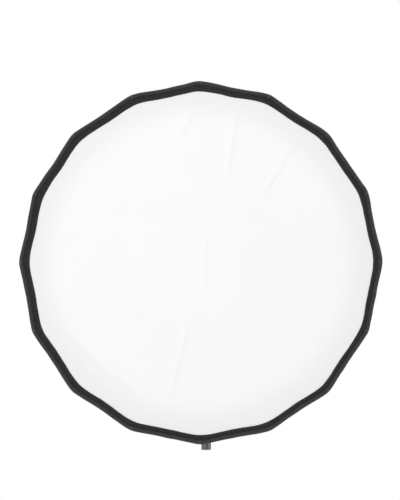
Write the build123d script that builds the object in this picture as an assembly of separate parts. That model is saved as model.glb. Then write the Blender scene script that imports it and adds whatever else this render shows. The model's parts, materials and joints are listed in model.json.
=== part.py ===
from build123d import *
import math
import os

# Studio softbox: a sixteen-rib folding shell on a turning rib hub, carried by a
# tilting bracket on a short riser post.
# Millimetres, +Z up. The softbox axis is Y and the diffuser faces -Y. The origin
# is the centre of the lamp port, on the face where the adapter meets the ring base.
# "Depth" below is distance forward of the origin, so depth = -y.

# ---- Driving sizes -----------------------------------------------------------
RIB_COUNT = 16
RIM_RADIUS = 450.0          # corner radius of the shell at its front
RIM_DEPTH = 470.0           # front face of the hem
SKIN_ROOT_RADIUS = 92.5     # corner radius of the shell at its rear edge
SKIN_ROOT_DEPTH = 31.0
SKIN_BOW = 60.0             # how far the shell bows out from its chord
SKIN_THICK = 1.2
SKIN_SLANT = 1.0            # how much further forward the lining's rear edge is
PANEL_GAP = 0.3             # between neighbouring panels
HEM_WIDTH = 8.0
HEM_FACE = 6.0              # how far the hem stands in front of its lip
LIP_RADIUS = 424.0          # corner radius of the lip's inner edge
LIP_THICK = 2.0

PORT_RADIUS = 55.0          # clear bore that the lamp shines through
SLEEVE_RADIUS = 60.0
SLEEVE_DEPTH = 52.0
BASE_RADIUS = 90.0
BASE_THICK = 12.0
BASE_OVERLAP = 4.0          # how far the foot and the lock lug run into the flange
FOOT_TOP = -70.0
FOOT_CORNER = 6.0
LOCK_LUG_OUTER = 101.0
LOCK_LUG_DEPTH = 24.0
LOCK_LUG_HALF = 11.0
LOCK_LUG_CORNER = 5.0
LOCK_LUG_ROOM = 0.8         # between the lock lug and the hub
CLIP_THICK = 1.6
CLIP_OUTER = 64.0
CLIP_GAP = 8.0
CLIP_INSET = 1.1            # how far the circlip reaches into the sleeve
CLIP_GROOVE = 1.2
CLIP_BACK = 26.4
CLIP_PLAY = 0.1

HUB_BORE = 60.06
HUB_BACK = 12.4
HUB_REAR_RADIUS = 84.0
HUB_STEP = 24.0             # depth where the crown that holds the ribs begins
HUB_CROWN_RADIUS = 88.0
HUB_FRONT = 45.0
HUB_WEB = 26.0              # depth of the floor that the lock collar slides over
COLLAR_BORE_ROOM = 69.0     # radius of the pocket for the lock collar
HUB_CHAMFER = 1.0
SLOT_WIDTH = 9.0
SLOT_FLOOR = 29.0
SLOT_INNER = 66.0

PIVOT_RADIUS = 78.0
PIVOT_DEPTH = 38.0
PIN_RADIUS = 2.0
PIN_HALF = 8.5
RUN_GAP = 0.05              # running clearance on a radius
FOLD_DEG = 40.0
SHOE_DEG = 62.0             # from the softbox axis to the rib where it leaves the hub
SHOE_LENGTH = 36.0
SHOE_WIDTH = 8.0
SHOE_HALF_HEIGHT = 4.6
SHOE_BOSS = 6.0
TAIL_LENGTH = 12.2
TAIL_RADIUS = 2.4
TAIL_HALF_HEIGHT = 1.5
ROD_RADIUS = 2.0
ROD_IN_SHOE = 24.0
ROD_TIP_RADIUS = 439.5
ROD_TIP_DEPTH = 454.0
CAP_RADIUS = 3.4
CAP_LENGTH = 14.0
CAP_BEHIND = 8.4            # length of the cap behind the rod's tip
CAP_ROUND = 1.5

COLLAR_INNER = 60.4
COLLAR_OUTER = 68.4
COLLAR_WIDTH = 10.0
COLLAR_GROOVE_FLOOR = 62.4
COLLAR_GROOVE_PLAY = 0.3
COLLAR_TABS = 4
COLLAR_TAB_LENGTH = 14.0
COLLAR_TAB_WIDTH = 18.0
COLLAR_TAB_INSET = 1.0
COLLAR_TAB_ROOT = 0.5       # how far a tab runs into the collar

CUFF_GAP = 0.2              # between the cuff and the hub's crown
CUFF_THICK = 3.0
CUFF_BACK = 24.6
CUFF_FRONT = 30.7
CUFF_ROUND = 0.9

ADAPTER_FLANGE_RADIUS = 80.0
ADAPTER_FLANGE = 4.0
ADAPTER_SPIGOT_RADIUS = 68.5
ADAPTER_LENGTH = 14.0
LUG_RADIUS = 73.5
LUG_THICK = 3.5
LUG_COUNT = 3
LUG_DEG = 44.0
LUG_ROOT = 1.0              # how far a lug runs into the spigot
ADAPTER_SCREWS = 6
ADAPTER_SCREW_START = 30.0
ADAPTER_SCREW_CIRCLE = 76.0
ADAPTER_SCREW_RADIUS = 1.5
ADAPTER_HOLE_RADIUS = 1.6
ADAPTER_HOLE_DEPTH = 8.0
ADAPTER_SCREW_DEPTH = 7.0
ADAPTER_HEAD_RADIUS = 2.8
ADAPTER_HEAD_HEIGHT = 1.8
ADAPTER_DRIVE_DEPTH = 0.8
ADAPTER_DRIVE_HALF = 0.4
SCREW_HEAD_ROUND = 0.8

DIFFUSER_RADIUS = 440.0
DIFFUSER_BACK = 464.3
CLOTH_THICK = 1.0
BINDING_WIDTH = 14.0
BINDING_THICK = 0.8

BAFFLE_RADIUS = 245.0
BAFFLE_DEPTH = 235.0
BAFFLE_BINDING = 15.0
STRAP_COUNT = 8
STRAP_WIDTH = 15.0
STRAP_THICK = 1.0
STRAP_OUTER = 304.0
HOOK_OUTER = 319.0
HOOK_HALF = 8.5
HOOK_HALF_THICK = 1.5
HOOK_CORNER = 5.0

TILT_Y = 45.0
TILT_Z = -128.0
LUG_EYE = 17.0              # radius of both eyes of the tilt joint
EYE_INNER = 0.6
EYE_OUTER = 14.0
EYE_CAP = 2.0               # raised face that the lever's hub runs on
EYE_CAP_RADIUS = 12.0
DISC_RADIUS = 15.0
DISC_PLAY = 0.1
BOLT_RADIUS = 4.0
BOLT_END = 31.0
BOLT_HEAD_RADIUS = 7.5
BOLT_HEAD = 5.3
BOSS_HALF = 26.0            # half width of the foot where the arm bolts on
BOSS_TOP = -84.0
BOSS_BOTTOM = -114.0
ARM_PLATE = 8.0
ARM_CORNER = 6.0
ARM_ROUND = 2.0
ARM_HEEL = 2.0              # how far the arm's neck starts behind the plate's face
ARM_TOP = -88.0
NECK_BELOW = (11.5, 12.5)   # the neck's lower end, ahead of and below the joint
NECK_ABOVE = (9.0, 14.4)    # its upper end, behind and above
ARM_SCREW_X = 19.5
ARM_SCREW_Z = -102.0
ARM_SCREW_RADIUS = 2.5
ARM_HOLE_RADIUS = 2.6
ARM_HEAD_RADIUS = 4.25
ARM_HEAD = 5.0
ARM_HEX_RADIUS = 2.3
ARM_HEX_DEPTH = 2.8

POST_Y = TILT_Y
POST_RADIUS = 13.5
POST_WALL = 2.4
POST_TOP = -210.0
POST_BOTTOM = -505.0
STUD_RADIUS = 8.0
STUD_TOP = -158.0
STUD_FOOT = -204.0
RECEIVER_TOP = -150.0
RECEIVER_BOTTOM = -203.0
RECEIVER_RADIUS = 16.0
RECEIVER_ROUND = 2.0
RECEIVER_NECK_HALF = 13.0
RECEIVER_NECK_ROOT = 4.0    # how far the eye's neck runs into the receiver
RECEIVER_BOSS_RADIUS = 9.0
RECEIVER_BOSS_OUTER = 24.0
RECEIVER_BOSS_INNER = 8.0
STUD_GROOVE = 1.2
STUD_GROOVE_HALF = 6.0
STUD_CHAMFER = 1.0
STUD_END_ROOM = 1.0         # above the stud in the receiver's bore
PLUG_LENGTH = 28.0
PLUG_GAP = 0.02             # push fit of what sits in or round the post
SOCKET_RADIUS = 8.05
SOCKET_DEPTH = 45.0
CLAMP_RADIUS = 18.5
CLAMP_Z = -470.0
CLAMP_HEIGHT = 24.0
RECEIVER_KNOB_Z = -182.0
CLAMP_BOSS_RADIUS = 8.0
CLAMP_BOSS = 6.0
CLAMP_BOSS_ROOT = 3.0
CLAMP_ROUND = 1.0
CLAMP_HOLE_GAP = 0.3
SOCKET_CROWN = 6.0          # solid end of the bush above its bore
CLAMP_SCREW_RADIUS = 3.0
LOCK_DEPTH = 18.0           # depth of the rotation lock's screw

LEVER_HUB_RADIUS = 10.0
LEVER_HUB_END = 29.0
LEVER_GAP = 0.1
LEVER_HUB_ROUND = 1.2
LEVER_LEAN = (0.3, 0.62, -0.78)
LEVER_ROOT_X = 23.0
LEVER_STEM = (5.6, 4.2, 52.0)   # radius at its root, at its end, and length
LEVER_GRIP = (5.2, 7.0, 18.0)
LEVER_GRIP_START = 50.0
LEVER_GRIP_ROUND = 2.4

WING_SCREW_GRIP = 8.0       # length of the screw inside the wing
WING_NECK = (7.0, 9.0)      # radius and height
WING_SIZE = (46.0, 11.0, 13.0)
WING_BASE = 6.0
WING_ROUND = 2.5
STAR_SCREW_GRIP = 6.0
STAR_NECK = (6.0, 3.0)
STAR_HEAD = (11.0, 12.0)
STAR_BASE = 2.0
STAR_LOBES = 6
STAR_FLUTE = (4.2, 13.5)    # radius of a flute, and of the circle the flutes stand on
STAR_ROUND = 1.2
SCREW_CHAMFER = 0.6
WING_GAP = 0.5              # between a wing knob and the boss it stands on
STAR_GAP = 1.0              # between the star knob and the lock lug
STUD_SCREW_GAP = 0.2        # between each screw's tip and what it clamps
SOCKET_SCREW_GAP = 0.4
LOCK_SCREW_GAP = 0.5

HALF_DEG = 180.0 / RIB_COUNT
FLAT = math.cos(math.radians(HALF_DEG))     # flat radius over corner radius
REACH = 120.0               # longer than any half panel is wide
MARGIN = 1.0                # how far a cut runs past the face it starts from
THROUGH = 20.0              # length of a cut that leaves a wall altogether
UPRIGHT = (Align.CENTER, Align.CENTER, Align.MIN)


# ---- Small helpers -----------------------------------------------------------
def heading(degrees):
    """Unit (radius, depth) direction at an angle from the softbox axis."""
    turn = math.radians(degrees)
    return math.sin(turn), math.cos(turn)


def bow_circle(start, end, bow):
    """Centre and radius of the arc from start to end that bows out by bow."""
    across, along = end[0] - start[0], end[1] - start[1]
    chord = math.hypot(across, along)
    radius = chord**2 / (8 * bow) + bow / 2
    outward = (along / chord, -across / chord)
    middle = ((start[0] + end[0]) / 2, (start[1] + end[1]) / 2)
    back = radius - bow
    return (middle[0] - outward[0] * back, middle[1] - outward[1] * back), radius


def radius_at(centre, radius, depth):
    """Distance from the axis of a circle's outer side at a depth."""
    return centre[0] + math.sqrt(radius**2 - (depth - centre[1]) ** 2)


def turned(points):
    """Solid turned about the softbox axis from (radius, depth) points."""
    outline = [(r, -depth) for r, depth in points]
    return revolve(make_face(Polyline(*outline, close=True)), Axis.Y)


def ring(inner, outer, back, front):
    """Plain ring about the softbox axis between two depths."""
    return turned([(inner, back), (outer, back), (outer, front), (inner, front)])


def turned_up(points, y):
    """Solid turned about a vertical line at y from (radius, z) points."""
    face = Plane.XZ * make_face(Polyline(*points, close=True))
    return Pos(0, y, 0) * revolve(face, Axis.Z)


def along_x(radius, x_low, x_high, y, z):
    """Cylinder along X between two x values."""
    turn = Location((x_low, y, z), (0, 90, 0))
    return turn * Cylinder(radius, x_high - x_low, align=UPRIGHT)


def along_y(radius, y_low, y_high, x, z):
    """Cylinder along Y between two y values."""
    turn = Location((x, y_low, z), (-90, 0, 0))
    return turn * Cylinder(radius, y_high - y_low, align=UPRIGHT)


def block(x, y, z):
    """Box from three (low, high) pairs."""
    size = [pair[1] - pair[0] for pair in (x, y, z)]
    middle = [(pair[0] + pair[1]) / 2 for pair in (x, y, z)]
    return Pos(*middle) * Box(*size)


def around(shape, degrees):
    """A copy turned about the softbox axis, clockwise as seen from the front."""
    return shape.rotate(Axis.Y, degrees)


def write(name, *solids):
    """One STEP file for one node."""
    export_step(Compound(children=[s for part in solids for s in part.solids()]),
                f"parts/{name}.step")


# ---- Shell -------------------------------------------------------------------
def skin_panel():
    """Fabric panel centred on the top rib, with its hem and lip."""
    root = (SKIN_ROOT_RADIUS * FLAT, SKIN_ROOT_DEPTH)
    rim = (RIM_RADIUS * FLAT, RIM_DEPTH)
    centre, radius = bow_circle(root, rim, SKIN_BOW)
    inside = radius - SKIN_THICK
    lip_front = RIM_DEPTH - HEM_FACE
    lip_back = lip_front - LIP_THICK
    hem_edge = rim[0] - HEM_WIDTH
    lip_edge = LIP_RADIUS * FLAT

    def arc(circle, low, high):
        middle = (low[1] + high[1]) / 2
        points = [low, (radius_at(centre, circle, middle), middle), high]
        return ThreePointArc(*[(across, -depth) for across, depth in points])

    inner_back = SKIN_ROOT_DEPTH + SKIN_SLANT
    inner_root = (radius_at(centre, inside, inner_back), inner_back)
    inner_end = (radius_at(centre, inside, lip_back), lip_back)
    corners = [rim, (hem_edge, RIM_DEPTH), (hem_edge, lip_front), (lip_edge, lip_front),
               (lip_edge, lip_back), inner_end]
    outline = [
        arc(radius, root, rim),
        Polyline(*[(across, -depth) for across, depth in corners]),
        arc(inside, inner_root, inner_end),
        Line((inner_root[0], -inner_root[1]), (root[0], -root[1])),
    ]
    turn = math.radians(HALF_DEG)
    towards_rib = (-math.cos(turn), 0, math.sin(turn))
    start = [PANEL_GAP / 2 * part for part in towards_rib]
    middle_plane = Plane(start, x_dir=(math.sin(turn), 0, math.cos(turn)), z_dir=towards_rib)
    half = extrude(middle_plane * make_face(outline), REACH)
    half &= block((0, REACH), (-RIM_DEPTH - MARGIN, 0), (0, RIM_RADIUS + MARGIN))
    return half + mirror(half, Plane.YZ)


def rib_line():
    """(depth, radius) frame of the top rib: shoe end, arc middle and tip."""
    out, forward = heading(SHOE_DEG)
    bend = (PIVOT_RADIUS + SHOE_LENGTH * out, PIVOT_DEPTH + SHOE_LENGTH * forward)
    tip = (ROD_TIP_RADIUS, ROD_TIP_DEPTH)
    chord = math.hypot(tip[0] - bend[0], tip[1] - bend[1])
    lean = math.degrees(math.atan2(tip[0] - bend[0], tip[1] - bend[1]))
    turn = math.radians(SHOE_DEG - lean)
    bow = chord / 2 * math.tan(turn / 2)
    centre, radius = bow_circle(bend, tip, bow)
    middle_depth = (bend[1] + tip[1]) / 2
    return bend, (radius_at(centre, radius, middle_depth), middle_depth), tip, centre, radius


def rib_rod():
    """Spring rod: straight in the shoe, then one long arc to the rim."""
    bend, middle, tip, _, _ = rib_line()
    out, forward = heading(SHOE_DEG)
    inset = SHOE_LENGTH - ROD_IN_SHOE
    foot = (PIVOT_RADIUS + inset * out, PIVOT_DEPTH + inset * forward)

    def at(point):
        return (0, -point[1], point[0])

    path = Line(at(foot), at(bend)) + ThreePointArc(at(bend), at(middle), at(tip))
    section = Plane(at(foot), z_dir=(0, -forward, out)) * Circle(ROD_RADIUS)
    return sweep(section, path=path)


def rib_shoe():
    """Lever that holds the rod, turns on the hub pin and drives the lock collar."""
    out, forward = heading(SHOE_DEG)
    pivot = (-PIVOT_DEPTH, PIVOT_RADIUS)
    tail_lean = math.radians(FOLD_DEG / 2)
    tail = (pivot[0] - TAIL_LENGTH * math.sin(tail_lean),
            pivot[1] - TAIL_LENGTH * math.cos(tail_lean))
    end = (pivot[0] - SHOE_LENGTH * forward, pivot[1] + SHOE_LENGTH * out)

    def bar(start, finish, half_height):
        run = (finish[0] - start[0], finish[1] - start[1])
        length = math.hypot(*run)
        side = (-run[1] / length * half_height, run[0] / length * half_height)
        return Polygon((start[0] + side[0], start[1] + side[1]),
                       (start[0] - side[0], start[1] - side[1]),
                       (finish[0] - side[0], finish[1] - side[1]),
                       (finish[0] + side[0], finish[1] + side[1]), align=None)

    flat = bar(pivot, tail, TAIL_HALF_HEIGHT) + bar(pivot, end, SHOE_HALF_HEIGHT)
    flat += Pos(*pivot) * Circle(SHOE_BOSS) + Pos(*tail) * Circle(TAIL_RADIUS)
    shoe = Pos(-SHOE_WIDTH / 2, 0, 0) * extrude(Plane.YZ * flat, SHOE_WIDTH)
    shoe -= along_x(PIN_RADIUS + RUN_GAP, -SHOE_WIDTH, SHOE_WIDTH, *pivot)
    mouth = Plane((0, end[0], end[1]), z_dir=(0, forward, -out))
    return shoe - extrude(mouth * Circle(ROD_RADIUS + RUN_GAP), ROD_IN_SHOE)


def rib_cap():
    """Rounded cap over the rod's tip, which sits in the pocket at the rim."""
    _, _, tip, centre, radius = rib_line()
    lean = math.degrees(math.asin((centre[1] - tip[1]) / radius))
    out, forward = heading(lean)
    base = Plane((0, -tip[1] + forward * CAP_BEHIND, tip[0] - out * CAP_BEHIND),
                 z_dir=(0, -forward, out))
    cap = base * Cylinder(CAP_RADIUS, CAP_LENGTH, align=UPRIGHT)
    cap = fillet(cap.edges().filter_by(GeomType.CIRCLE), CAP_ROUND)
    return cap - rib_rod()


# ---- Rear ring ---------------------------------------------------------------
def adapter_screw_places(shape):
    """Copies of the top screw or hole at every adapter screw."""
    step = 360 / ADAPTER_SCREWS
    return [around(shape, ADAPTER_SCREW_START + n * step) for n in range(ADAPTER_SCREWS)]


def ring_base():
    """Fixed ring: flange, foot for the arm and lock lug."""
    base = ring(SLEEVE_RADIUS, BASE_RADIUS, 0, BASE_THICK)
    foot = block((-BOSS_HALF, BOSS_HALF), (-BASE_THICK, 0), (BOSS_BOTTOM, FOOT_TOP))
    foot = fillet(foot.edges().filter_by(Axis.Y).group_by(Axis.Z)[0], FOOT_CORNER)
    foot -= ring(0, BASE_RADIUS - BASE_OVERLAP, -MARGIN, BASE_THICK + MARGIN)
    lug = block((BASE_RADIUS - BASE_OVERLAP, LOCK_LUG_OUTER), (-LOCK_LUG_DEPTH, 0),
                (-LOCK_LUG_HALF, LOCK_LUG_HALF))
    lug -= ring(0, HUB_REAR_RADIUS + LOCK_LUG_ROOM, BASE_THICK - MARGIN, LOCK_LUG_DEPTH + MARGIN)
    lug = fillet(lug.edges().filter_by(Axis.Y).group_by(Axis.X)[-1], LOCK_LUG_CORNER)
    base += foot + lug
    base -= along_x(CLAMP_SCREW_RADIUS + RUN_GAP, HUB_REAR_RADIUS - MARGIN, LOCK_LUG_OUTER + MARGIN,
                    -LOCK_DEPTH, 0)
    for side in (-1, 1):
        base -= along_y(ARM_HOLE_RADIUS, -BASE_THICK - MARGIN, MARGIN, side * ARM_SCREW_X, ARM_SCREW_Z)
    hole = along_y(ADAPTER_HOLE_RADIUS, -ADAPTER_HOLE_DEPTH, MARGIN, 0, ADAPTER_SCREW_CIRCLE)
    for cut in adapter_screw_places(hole):
        base -= cut
    return base


def hub_sleeve():
    """Turned sleeve pressed into the ring base, which the hub runs on."""
    sleeve = ring(PORT_RADIUS, SLEEVE_RADIUS, 0, SLEEVE_DEPTH)
    return sleeve - ring(SLEEVE_RADIUS - CLIP_GROOVE, SLEEVE_RADIUS + MARGIN, CLIP_BACK - CLIP_PLAY,
                         CLIP_BACK + CLIP_THICK + CLIP_PLAY)


def lamp_adapter():
    """Bayonet insert for the lamp head: flange, spigot and three lugs."""
    adapter = turned([(PORT_RADIUS, 0), (ADAPTER_FLANGE_RADIUS, 0),
                      (ADAPTER_FLANGE_RADIUS, -ADAPTER_FLANGE),
                      (ADAPTER_SPIGOT_RADIUS, -ADAPTER_FLANGE),
                      (ADAPTER_SPIGOT_RADIUS, -ADAPTER_LENGTH), (PORT_RADIUS, -ADAPTER_LENGTH)])
    lug_root = ADAPTER_SPIGOT_RADIUS - LUG_ROOT
    lug_back, lug_front = ADAPTER_LENGTH, ADAPTER_LENGTH - LUG_THICK
    face = make_face(Polyline((lug_root, lug_front), (LUG_RADIUS, lug_front), (LUG_RADIUS, lug_back),
                              (lug_root, lug_back), close=True))
    lug = revolve(face, Axis.Y, revolution_arc=LUG_DEG)
    for n in range(LUG_COUNT):
        adapter += around(lug, n * 360 / LUG_COUNT)
    hole = along_y(ADAPTER_HOLE_RADIUS, -MARGIN, ADAPTER_FLANGE + MARGIN, 0, ADAPTER_SCREW_CIRCLE)
    for cut in adapter_screw_places(hole):
        adapter -= cut
    return adapter


def adapter_screws():
    """Pan-head screws that hold the adapter to the ring base."""
    top = ADAPTER_FLANGE + ADAPTER_HEAD_HEIGHT
    screw = along_y(ADAPTER_SCREW_RADIUS, -ADAPTER_SCREW_DEPTH, ADAPTER_FLANGE, 0, ADAPTER_SCREW_CIRCLE)
    head = along_y(ADAPTER_HEAD_RADIUS, ADAPTER_FLANGE, top, 0, ADAPTER_SCREW_CIRCLE)
    head = fillet(head.edges().sort_by(Axis.Y)[-1], SCREW_HEAD_ROUND)
    head -= block((-ADAPTER_HEAD_RADIUS, ADAPTER_HEAD_RADIUS), (top - ADAPTER_DRIVE_DEPTH, top + MARGIN),
                  (ADAPTER_SCREW_CIRCLE - ADAPTER_DRIVE_HALF, ADAPTER_SCREW_CIRCLE + ADAPTER_DRIVE_HALF))
    return adapter_screw_places(screw + head)


def rib_hub():
    """Turning ring with a slot and a pin hole for every rib."""
    hub = turned([(HUB_BORE, HUB_BACK), (HUB_REAR_RADIUS, HUB_BACK), (HUB_REAR_RADIUS, HUB_STEP),
                  (HUB_CROWN_RADIUS, HUB_STEP), (HUB_CROWN_RADIUS, HUB_FRONT),
                  (COLLAR_BORE_ROOM, HUB_FRONT), (COLLAR_BORE_ROOM, HUB_WEB),
                  (HUB_BORE, HUB_WEB)])
    hub = chamfer(hub.edges().filter_by(GeomType.CIRCLE).group_by(Axis.Y)[0], HUB_CHAMFER)
    slot = block((-SLOT_WIDTH / 2, SLOT_WIDTH / 2), (-HUB_FRONT - MARGIN, -SLOT_FLOOR),
                 (SLOT_INNER, HUB_CROWN_RADIUS + MARGIN))
    pin_hole = along_x(PIN_RADIUS, -PIN_HALF, PIN_HALF, -PIVOT_DEPTH, PIVOT_RADIUS)
    for n in range(RIB_COUNT):
        hub -= around(slot, n * 2 * HALF_DEG)
        hub -= around(pin_hole, n * 2 * HALF_DEG)
    return hub


def hinge_pins():
    """One pin for every rib, pressed into the hub."""
    pin = along_x(PIN_RADIUS, -PIN_HALF, PIN_HALF, -PIVOT_DEPTH, PIVOT_RADIUS)
    return [around(pin, n * 2 * HALF_DEG) for n in range(RIB_COUNT)]


def hub_circlip():
    """Open spring ring in the sleeve's groove, which keeps the hub on."""
    front = CLIP_BACK + CLIP_THICK
    clip = ring(SLEEVE_RADIUS - CLIP_INSET, CLIP_OUTER, CLIP_BACK, front)
    return clip - block((-CLIP_GAP / 2, CLIP_GAP / 2), (-front - MARGIN, -CLIP_BACK + MARGIN),
                        (0, CLIP_OUTER + MARGIN))


def lock_collar():
    """Sliding ring whose groove takes the tails of all the shoes."""
    open_depth = PIVOT_DEPTH + TAIL_LENGTH * math.sin(math.radians(FOLD_DEG / 2))
    back, front = open_depth - COLLAR_WIDTH / 2, open_depth + COLLAR_WIDTH / 2
    groove = TAIL_RADIUS + COLLAR_GROOVE_PLAY
    collar = turned([(COLLAR_INNER, back), (COLLAR_OUTER, back),
                     (COLLAR_OUTER, open_depth - groove), (COLLAR_GROOVE_FLOOR, open_depth - groove),
                     (COLLAR_GROOVE_FLOOR, open_depth + groove), (COLLAR_OUTER, open_depth + groove),
                     (COLLAR_OUTER, front), (COLLAR_INNER, front)])
    tab = ring(COLLAR_INNER + COLLAR_TAB_INSET, COLLAR_OUTER - COLLAR_TAB_INSET,
               front - COLLAR_TAB_ROOT, front + COLLAR_TAB_LENGTH)
    tab &= block((-COLLAR_TAB_WIDTH / 2, COLLAR_TAB_WIDTH / 2), (-REACH, 0), (0, REACH))
    for n in range(COLLAR_TABS):
        collar += around(tab, HALF_DEG + n * 360 / COLLAR_TABS)
    return collar


def rear_cuff():
    """Elastic cuff of the shell, drawn round the hub behind the panels."""
    inner = HUB_CROWN_RADIUS + CUFF_GAP
    cuff = ring(inner, inner + CUFF_THICK, CUFF_BACK, CUFF_FRONT)
    return fillet(cuff.edges().filter_by(GeomType.CIRCLE), CUFF_ROUND)


# ---- Diffusers ---------------------------------------------------------------
def polygon_sheet(corner_radius, back, front):
    """Flat polygon with its corners at the ribs, between two depths."""
    face = Plane.XZ * RegularPolygon(corner_radius, RIB_COUNT)
    return Pos(0, -back, 0) * extrude(face, front - back)


def front_diffuser():
    """Removable front cloth."""
    return polygon_sheet(DIFFUSER_RADIUS, DIFFUSER_BACK, DIFFUSER_BACK + CLOTH_THICK)


def diffuser_binding():
    """Band sewn round the front cloth, which holds to the shell's lip."""
    back = DIFFUSER_BACK + CLOTH_THICK
    band = polygon_sheet(DIFFUSER_RADIUS, back, back + BINDING_THICK)
    return band - polygon_sheet(DIFFUSER_RADIUS - BINDING_WIDTH, back - MARGIN, back + BINDING_THICK + MARGIN)


def inner_baffle():
    """Round inner diffuser cloth."""
    return ring(0, BAFFLE_RADIUS, BAFFLE_DEPTH, BAFFLE_DEPTH + CLOTH_THICK)


def baffle_binding():
    """Band sewn round the inner cloth."""
    front = BAFFLE_DEPTH + CLOTH_THICK
    return ring(BAFFLE_RADIUS - BAFFLE_BINDING, BAFFLE_RADIUS, front, front + BINDING_THICK)


def baffle_straps():
    """Elastic straps from the inner cloth out to every second rib."""
    strap = block((-STRAP_WIDTH / 2, STRAP_WIDTH / 2), (-BAFFLE_DEPTH, -BAFFLE_DEPTH + STRAP_THICK),
                  (BAFFLE_RADIUS - BAFFLE_BINDING, STRAP_OUTER))
    return [around(strap, n * 360 / STRAP_COUNT) for n in range(STRAP_COUNT)]


def baffle_hooks():
    """Flat hook on the end of each strap."""
    hook = block((-HOOK_HALF, HOOK_HALF), (-BAFFLE_DEPTH - HOOK_HALF_THICK, -BAFFLE_DEPTH + HOOK_HALF_THICK),
                 (STRAP_OUTER, HOOK_OUTER))
    hook = fillet(hook.edges().filter_by(Axis.Y).group_by(Axis.Z)[-1], HOOK_CORNER)
    return [around(hook, n * 360 / STRAP_COUNT) for n in range(STRAP_COUNT)]


# ---- Bracket -----------------------------------------------------------------
def tilt_arm():
    """Cast arm from the ring base's foot to the tilt joint's outer eye."""
    plate = block((-BOSS_HALF, BOSS_HALF), (0, ARM_PLATE), (BOSS_BOTTOM, BOSS_TOP))
    plate = fillet(plate.edges().filter_by(Axis.Y), ARM_CORNER)
    neck = Polygon((ARM_HEEL, BOSS_BOTTOM), (TILT_Y - NECK_BELOW[0], TILT_Z - NECK_BELOW[1]),
                   (TILT_Y + NECK_ABOVE[0], TILT_Z + NECK_ABOVE[1]), (ARM_PLATE, ARM_TOP),
                   (ARM_HEEL, ARM_TOP), align=None)
    arm = Pos(EYE_INNER, 0, 0) * extrude(Plane.YZ * neck, EYE_OUTER - EYE_INNER)
    arm = fillet(arm.edges().filter_by(Axis.X, reverse=True).group_by(Axis.X)[-1], ARM_ROUND)
    arm += along_x(LUG_EYE, EYE_INNER, EYE_OUTER, TILT_Y, TILT_Z)
    arm += along_x(EYE_CAP_RADIUS, EYE_OUTER, EYE_OUTER + EYE_CAP, TILT_Y, TILT_Z)
    arm += plate
    arm -= along_x(BOLT_RADIUS + RUN_GAP, -MARGIN, EYE_OUTER + EYE_CAP + MARGIN, TILT_Y, TILT_Z)
    for side in (-1, 1):
        arm -= along_y(ARM_HOLE_RADIUS, -MARGIN, ARM_PLATE + MARGIN, side * ARM_SCREW_X, ARM_SCREW_Z)
    return arm


def arm_screws():
    """Two socket-head screws through the arm into the ring base."""
    solids = []
    for side in (-1, 1):
        x = side * ARM_SCREW_X
        top = ARM_PLATE + ARM_HEAD
        head = along_y(ARM_HEAD_RADIUS, ARM_PLATE, top, x, ARM_SCREW_Z)
        head = fillet(head.edges().sort_by(Axis.Y)[-1], SCREW_HEAD_ROUND)
        hexagon = Plane((x, top, ARM_SCREW_Z), z_dir=(0, -1, 0)) * RegularPolygon(ARM_HEX_RADIUS, 6)
        screw = along_y(ARM_SCREW_RADIUS, -BASE_THICK + MARGIN, ARM_PLATE, x, ARM_SCREW_Z)
        solids.append(screw + head - extrude(hexagon, ARM_HEX_DEPTH))
    return solids


def stand_receiver():
    """Casting with the inner eye of the tilt joint and the bore for the stud."""
    body = turned_up([(0, RECEIVER_BOTTOM), (RECEIVER_RADIUS, RECEIVER_BOTTOM),
                      (RECEIVER_RADIUS, RECEIVER_TOP), (0, RECEIVER_TOP)], POST_Y)
    body = fillet(body.edges().filter_by(GeomType.CIRCLE), RECEIVER_ROUND)
    body += along_x(LUG_EYE, -EYE_OUTER, -EYE_INNER, TILT_Y, TILT_Z)
    body += block((-EYE_OUTER, -EYE_INNER), (TILT_Y - RECEIVER_NECK_HALF, TILT_Y + RECEIVER_NECK_HALF),
                  (RECEIVER_TOP - RECEIVER_NECK_ROOT, TILT_Z))
    body += along_x(RECEIVER_BOSS_RADIUS, -RECEIVER_BOSS_OUTER, -RECEIVER_BOSS_INNER, POST_Y, RECEIVER_KNOB_Z)
    bore, bore_bottom, bore_top = STUD_RADIUS + RUN_GAP, RECEIVER_BOTTOM - MARGIN, STUD_TOP + STUD_END_ROOM
    body -= turned_up([(0, bore_bottom), (bore, bore_bottom), (bore, bore_top), (0, bore_top)], POST_Y)
    body -= along_x(CLAMP_SCREW_RADIUS + RUN_GAP, -RECEIVER_BOSS_OUTER - MARGIN, 0, POST_Y, RECEIVER_KNOB_Z)
    return body - along_x(BOLT_RADIUS + RUN_GAP, -EYE_OUTER - MARGIN, MARGIN, TILT_Y, TILT_Z)


def friction_disc():
    """Fibre disc between the two eyes."""
    disc = along_x(DISC_RADIUS, -EYE_INNER, EYE_INNER - DISC_PLAY, TILT_Y, TILT_Z)
    return disc - along_x(BOLT_RADIUS + RUN_GAP, -MARGIN, MARGIN, TILT_Y, TILT_Z)


def tilt_bolt():
    """Hexagon-head bolt through both eyes."""
    head = Plane((-EYE_OUTER, TILT_Y, TILT_Z), z_dir=(-1, 0, 0)) * RegularPolygon(BOLT_HEAD_RADIUS, 6)
    return extrude(head, BOLT_HEAD) + along_x(BOLT_RADIUS, -EYE_OUTER, BOLT_END, TILT_Y, TILT_Z)


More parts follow.
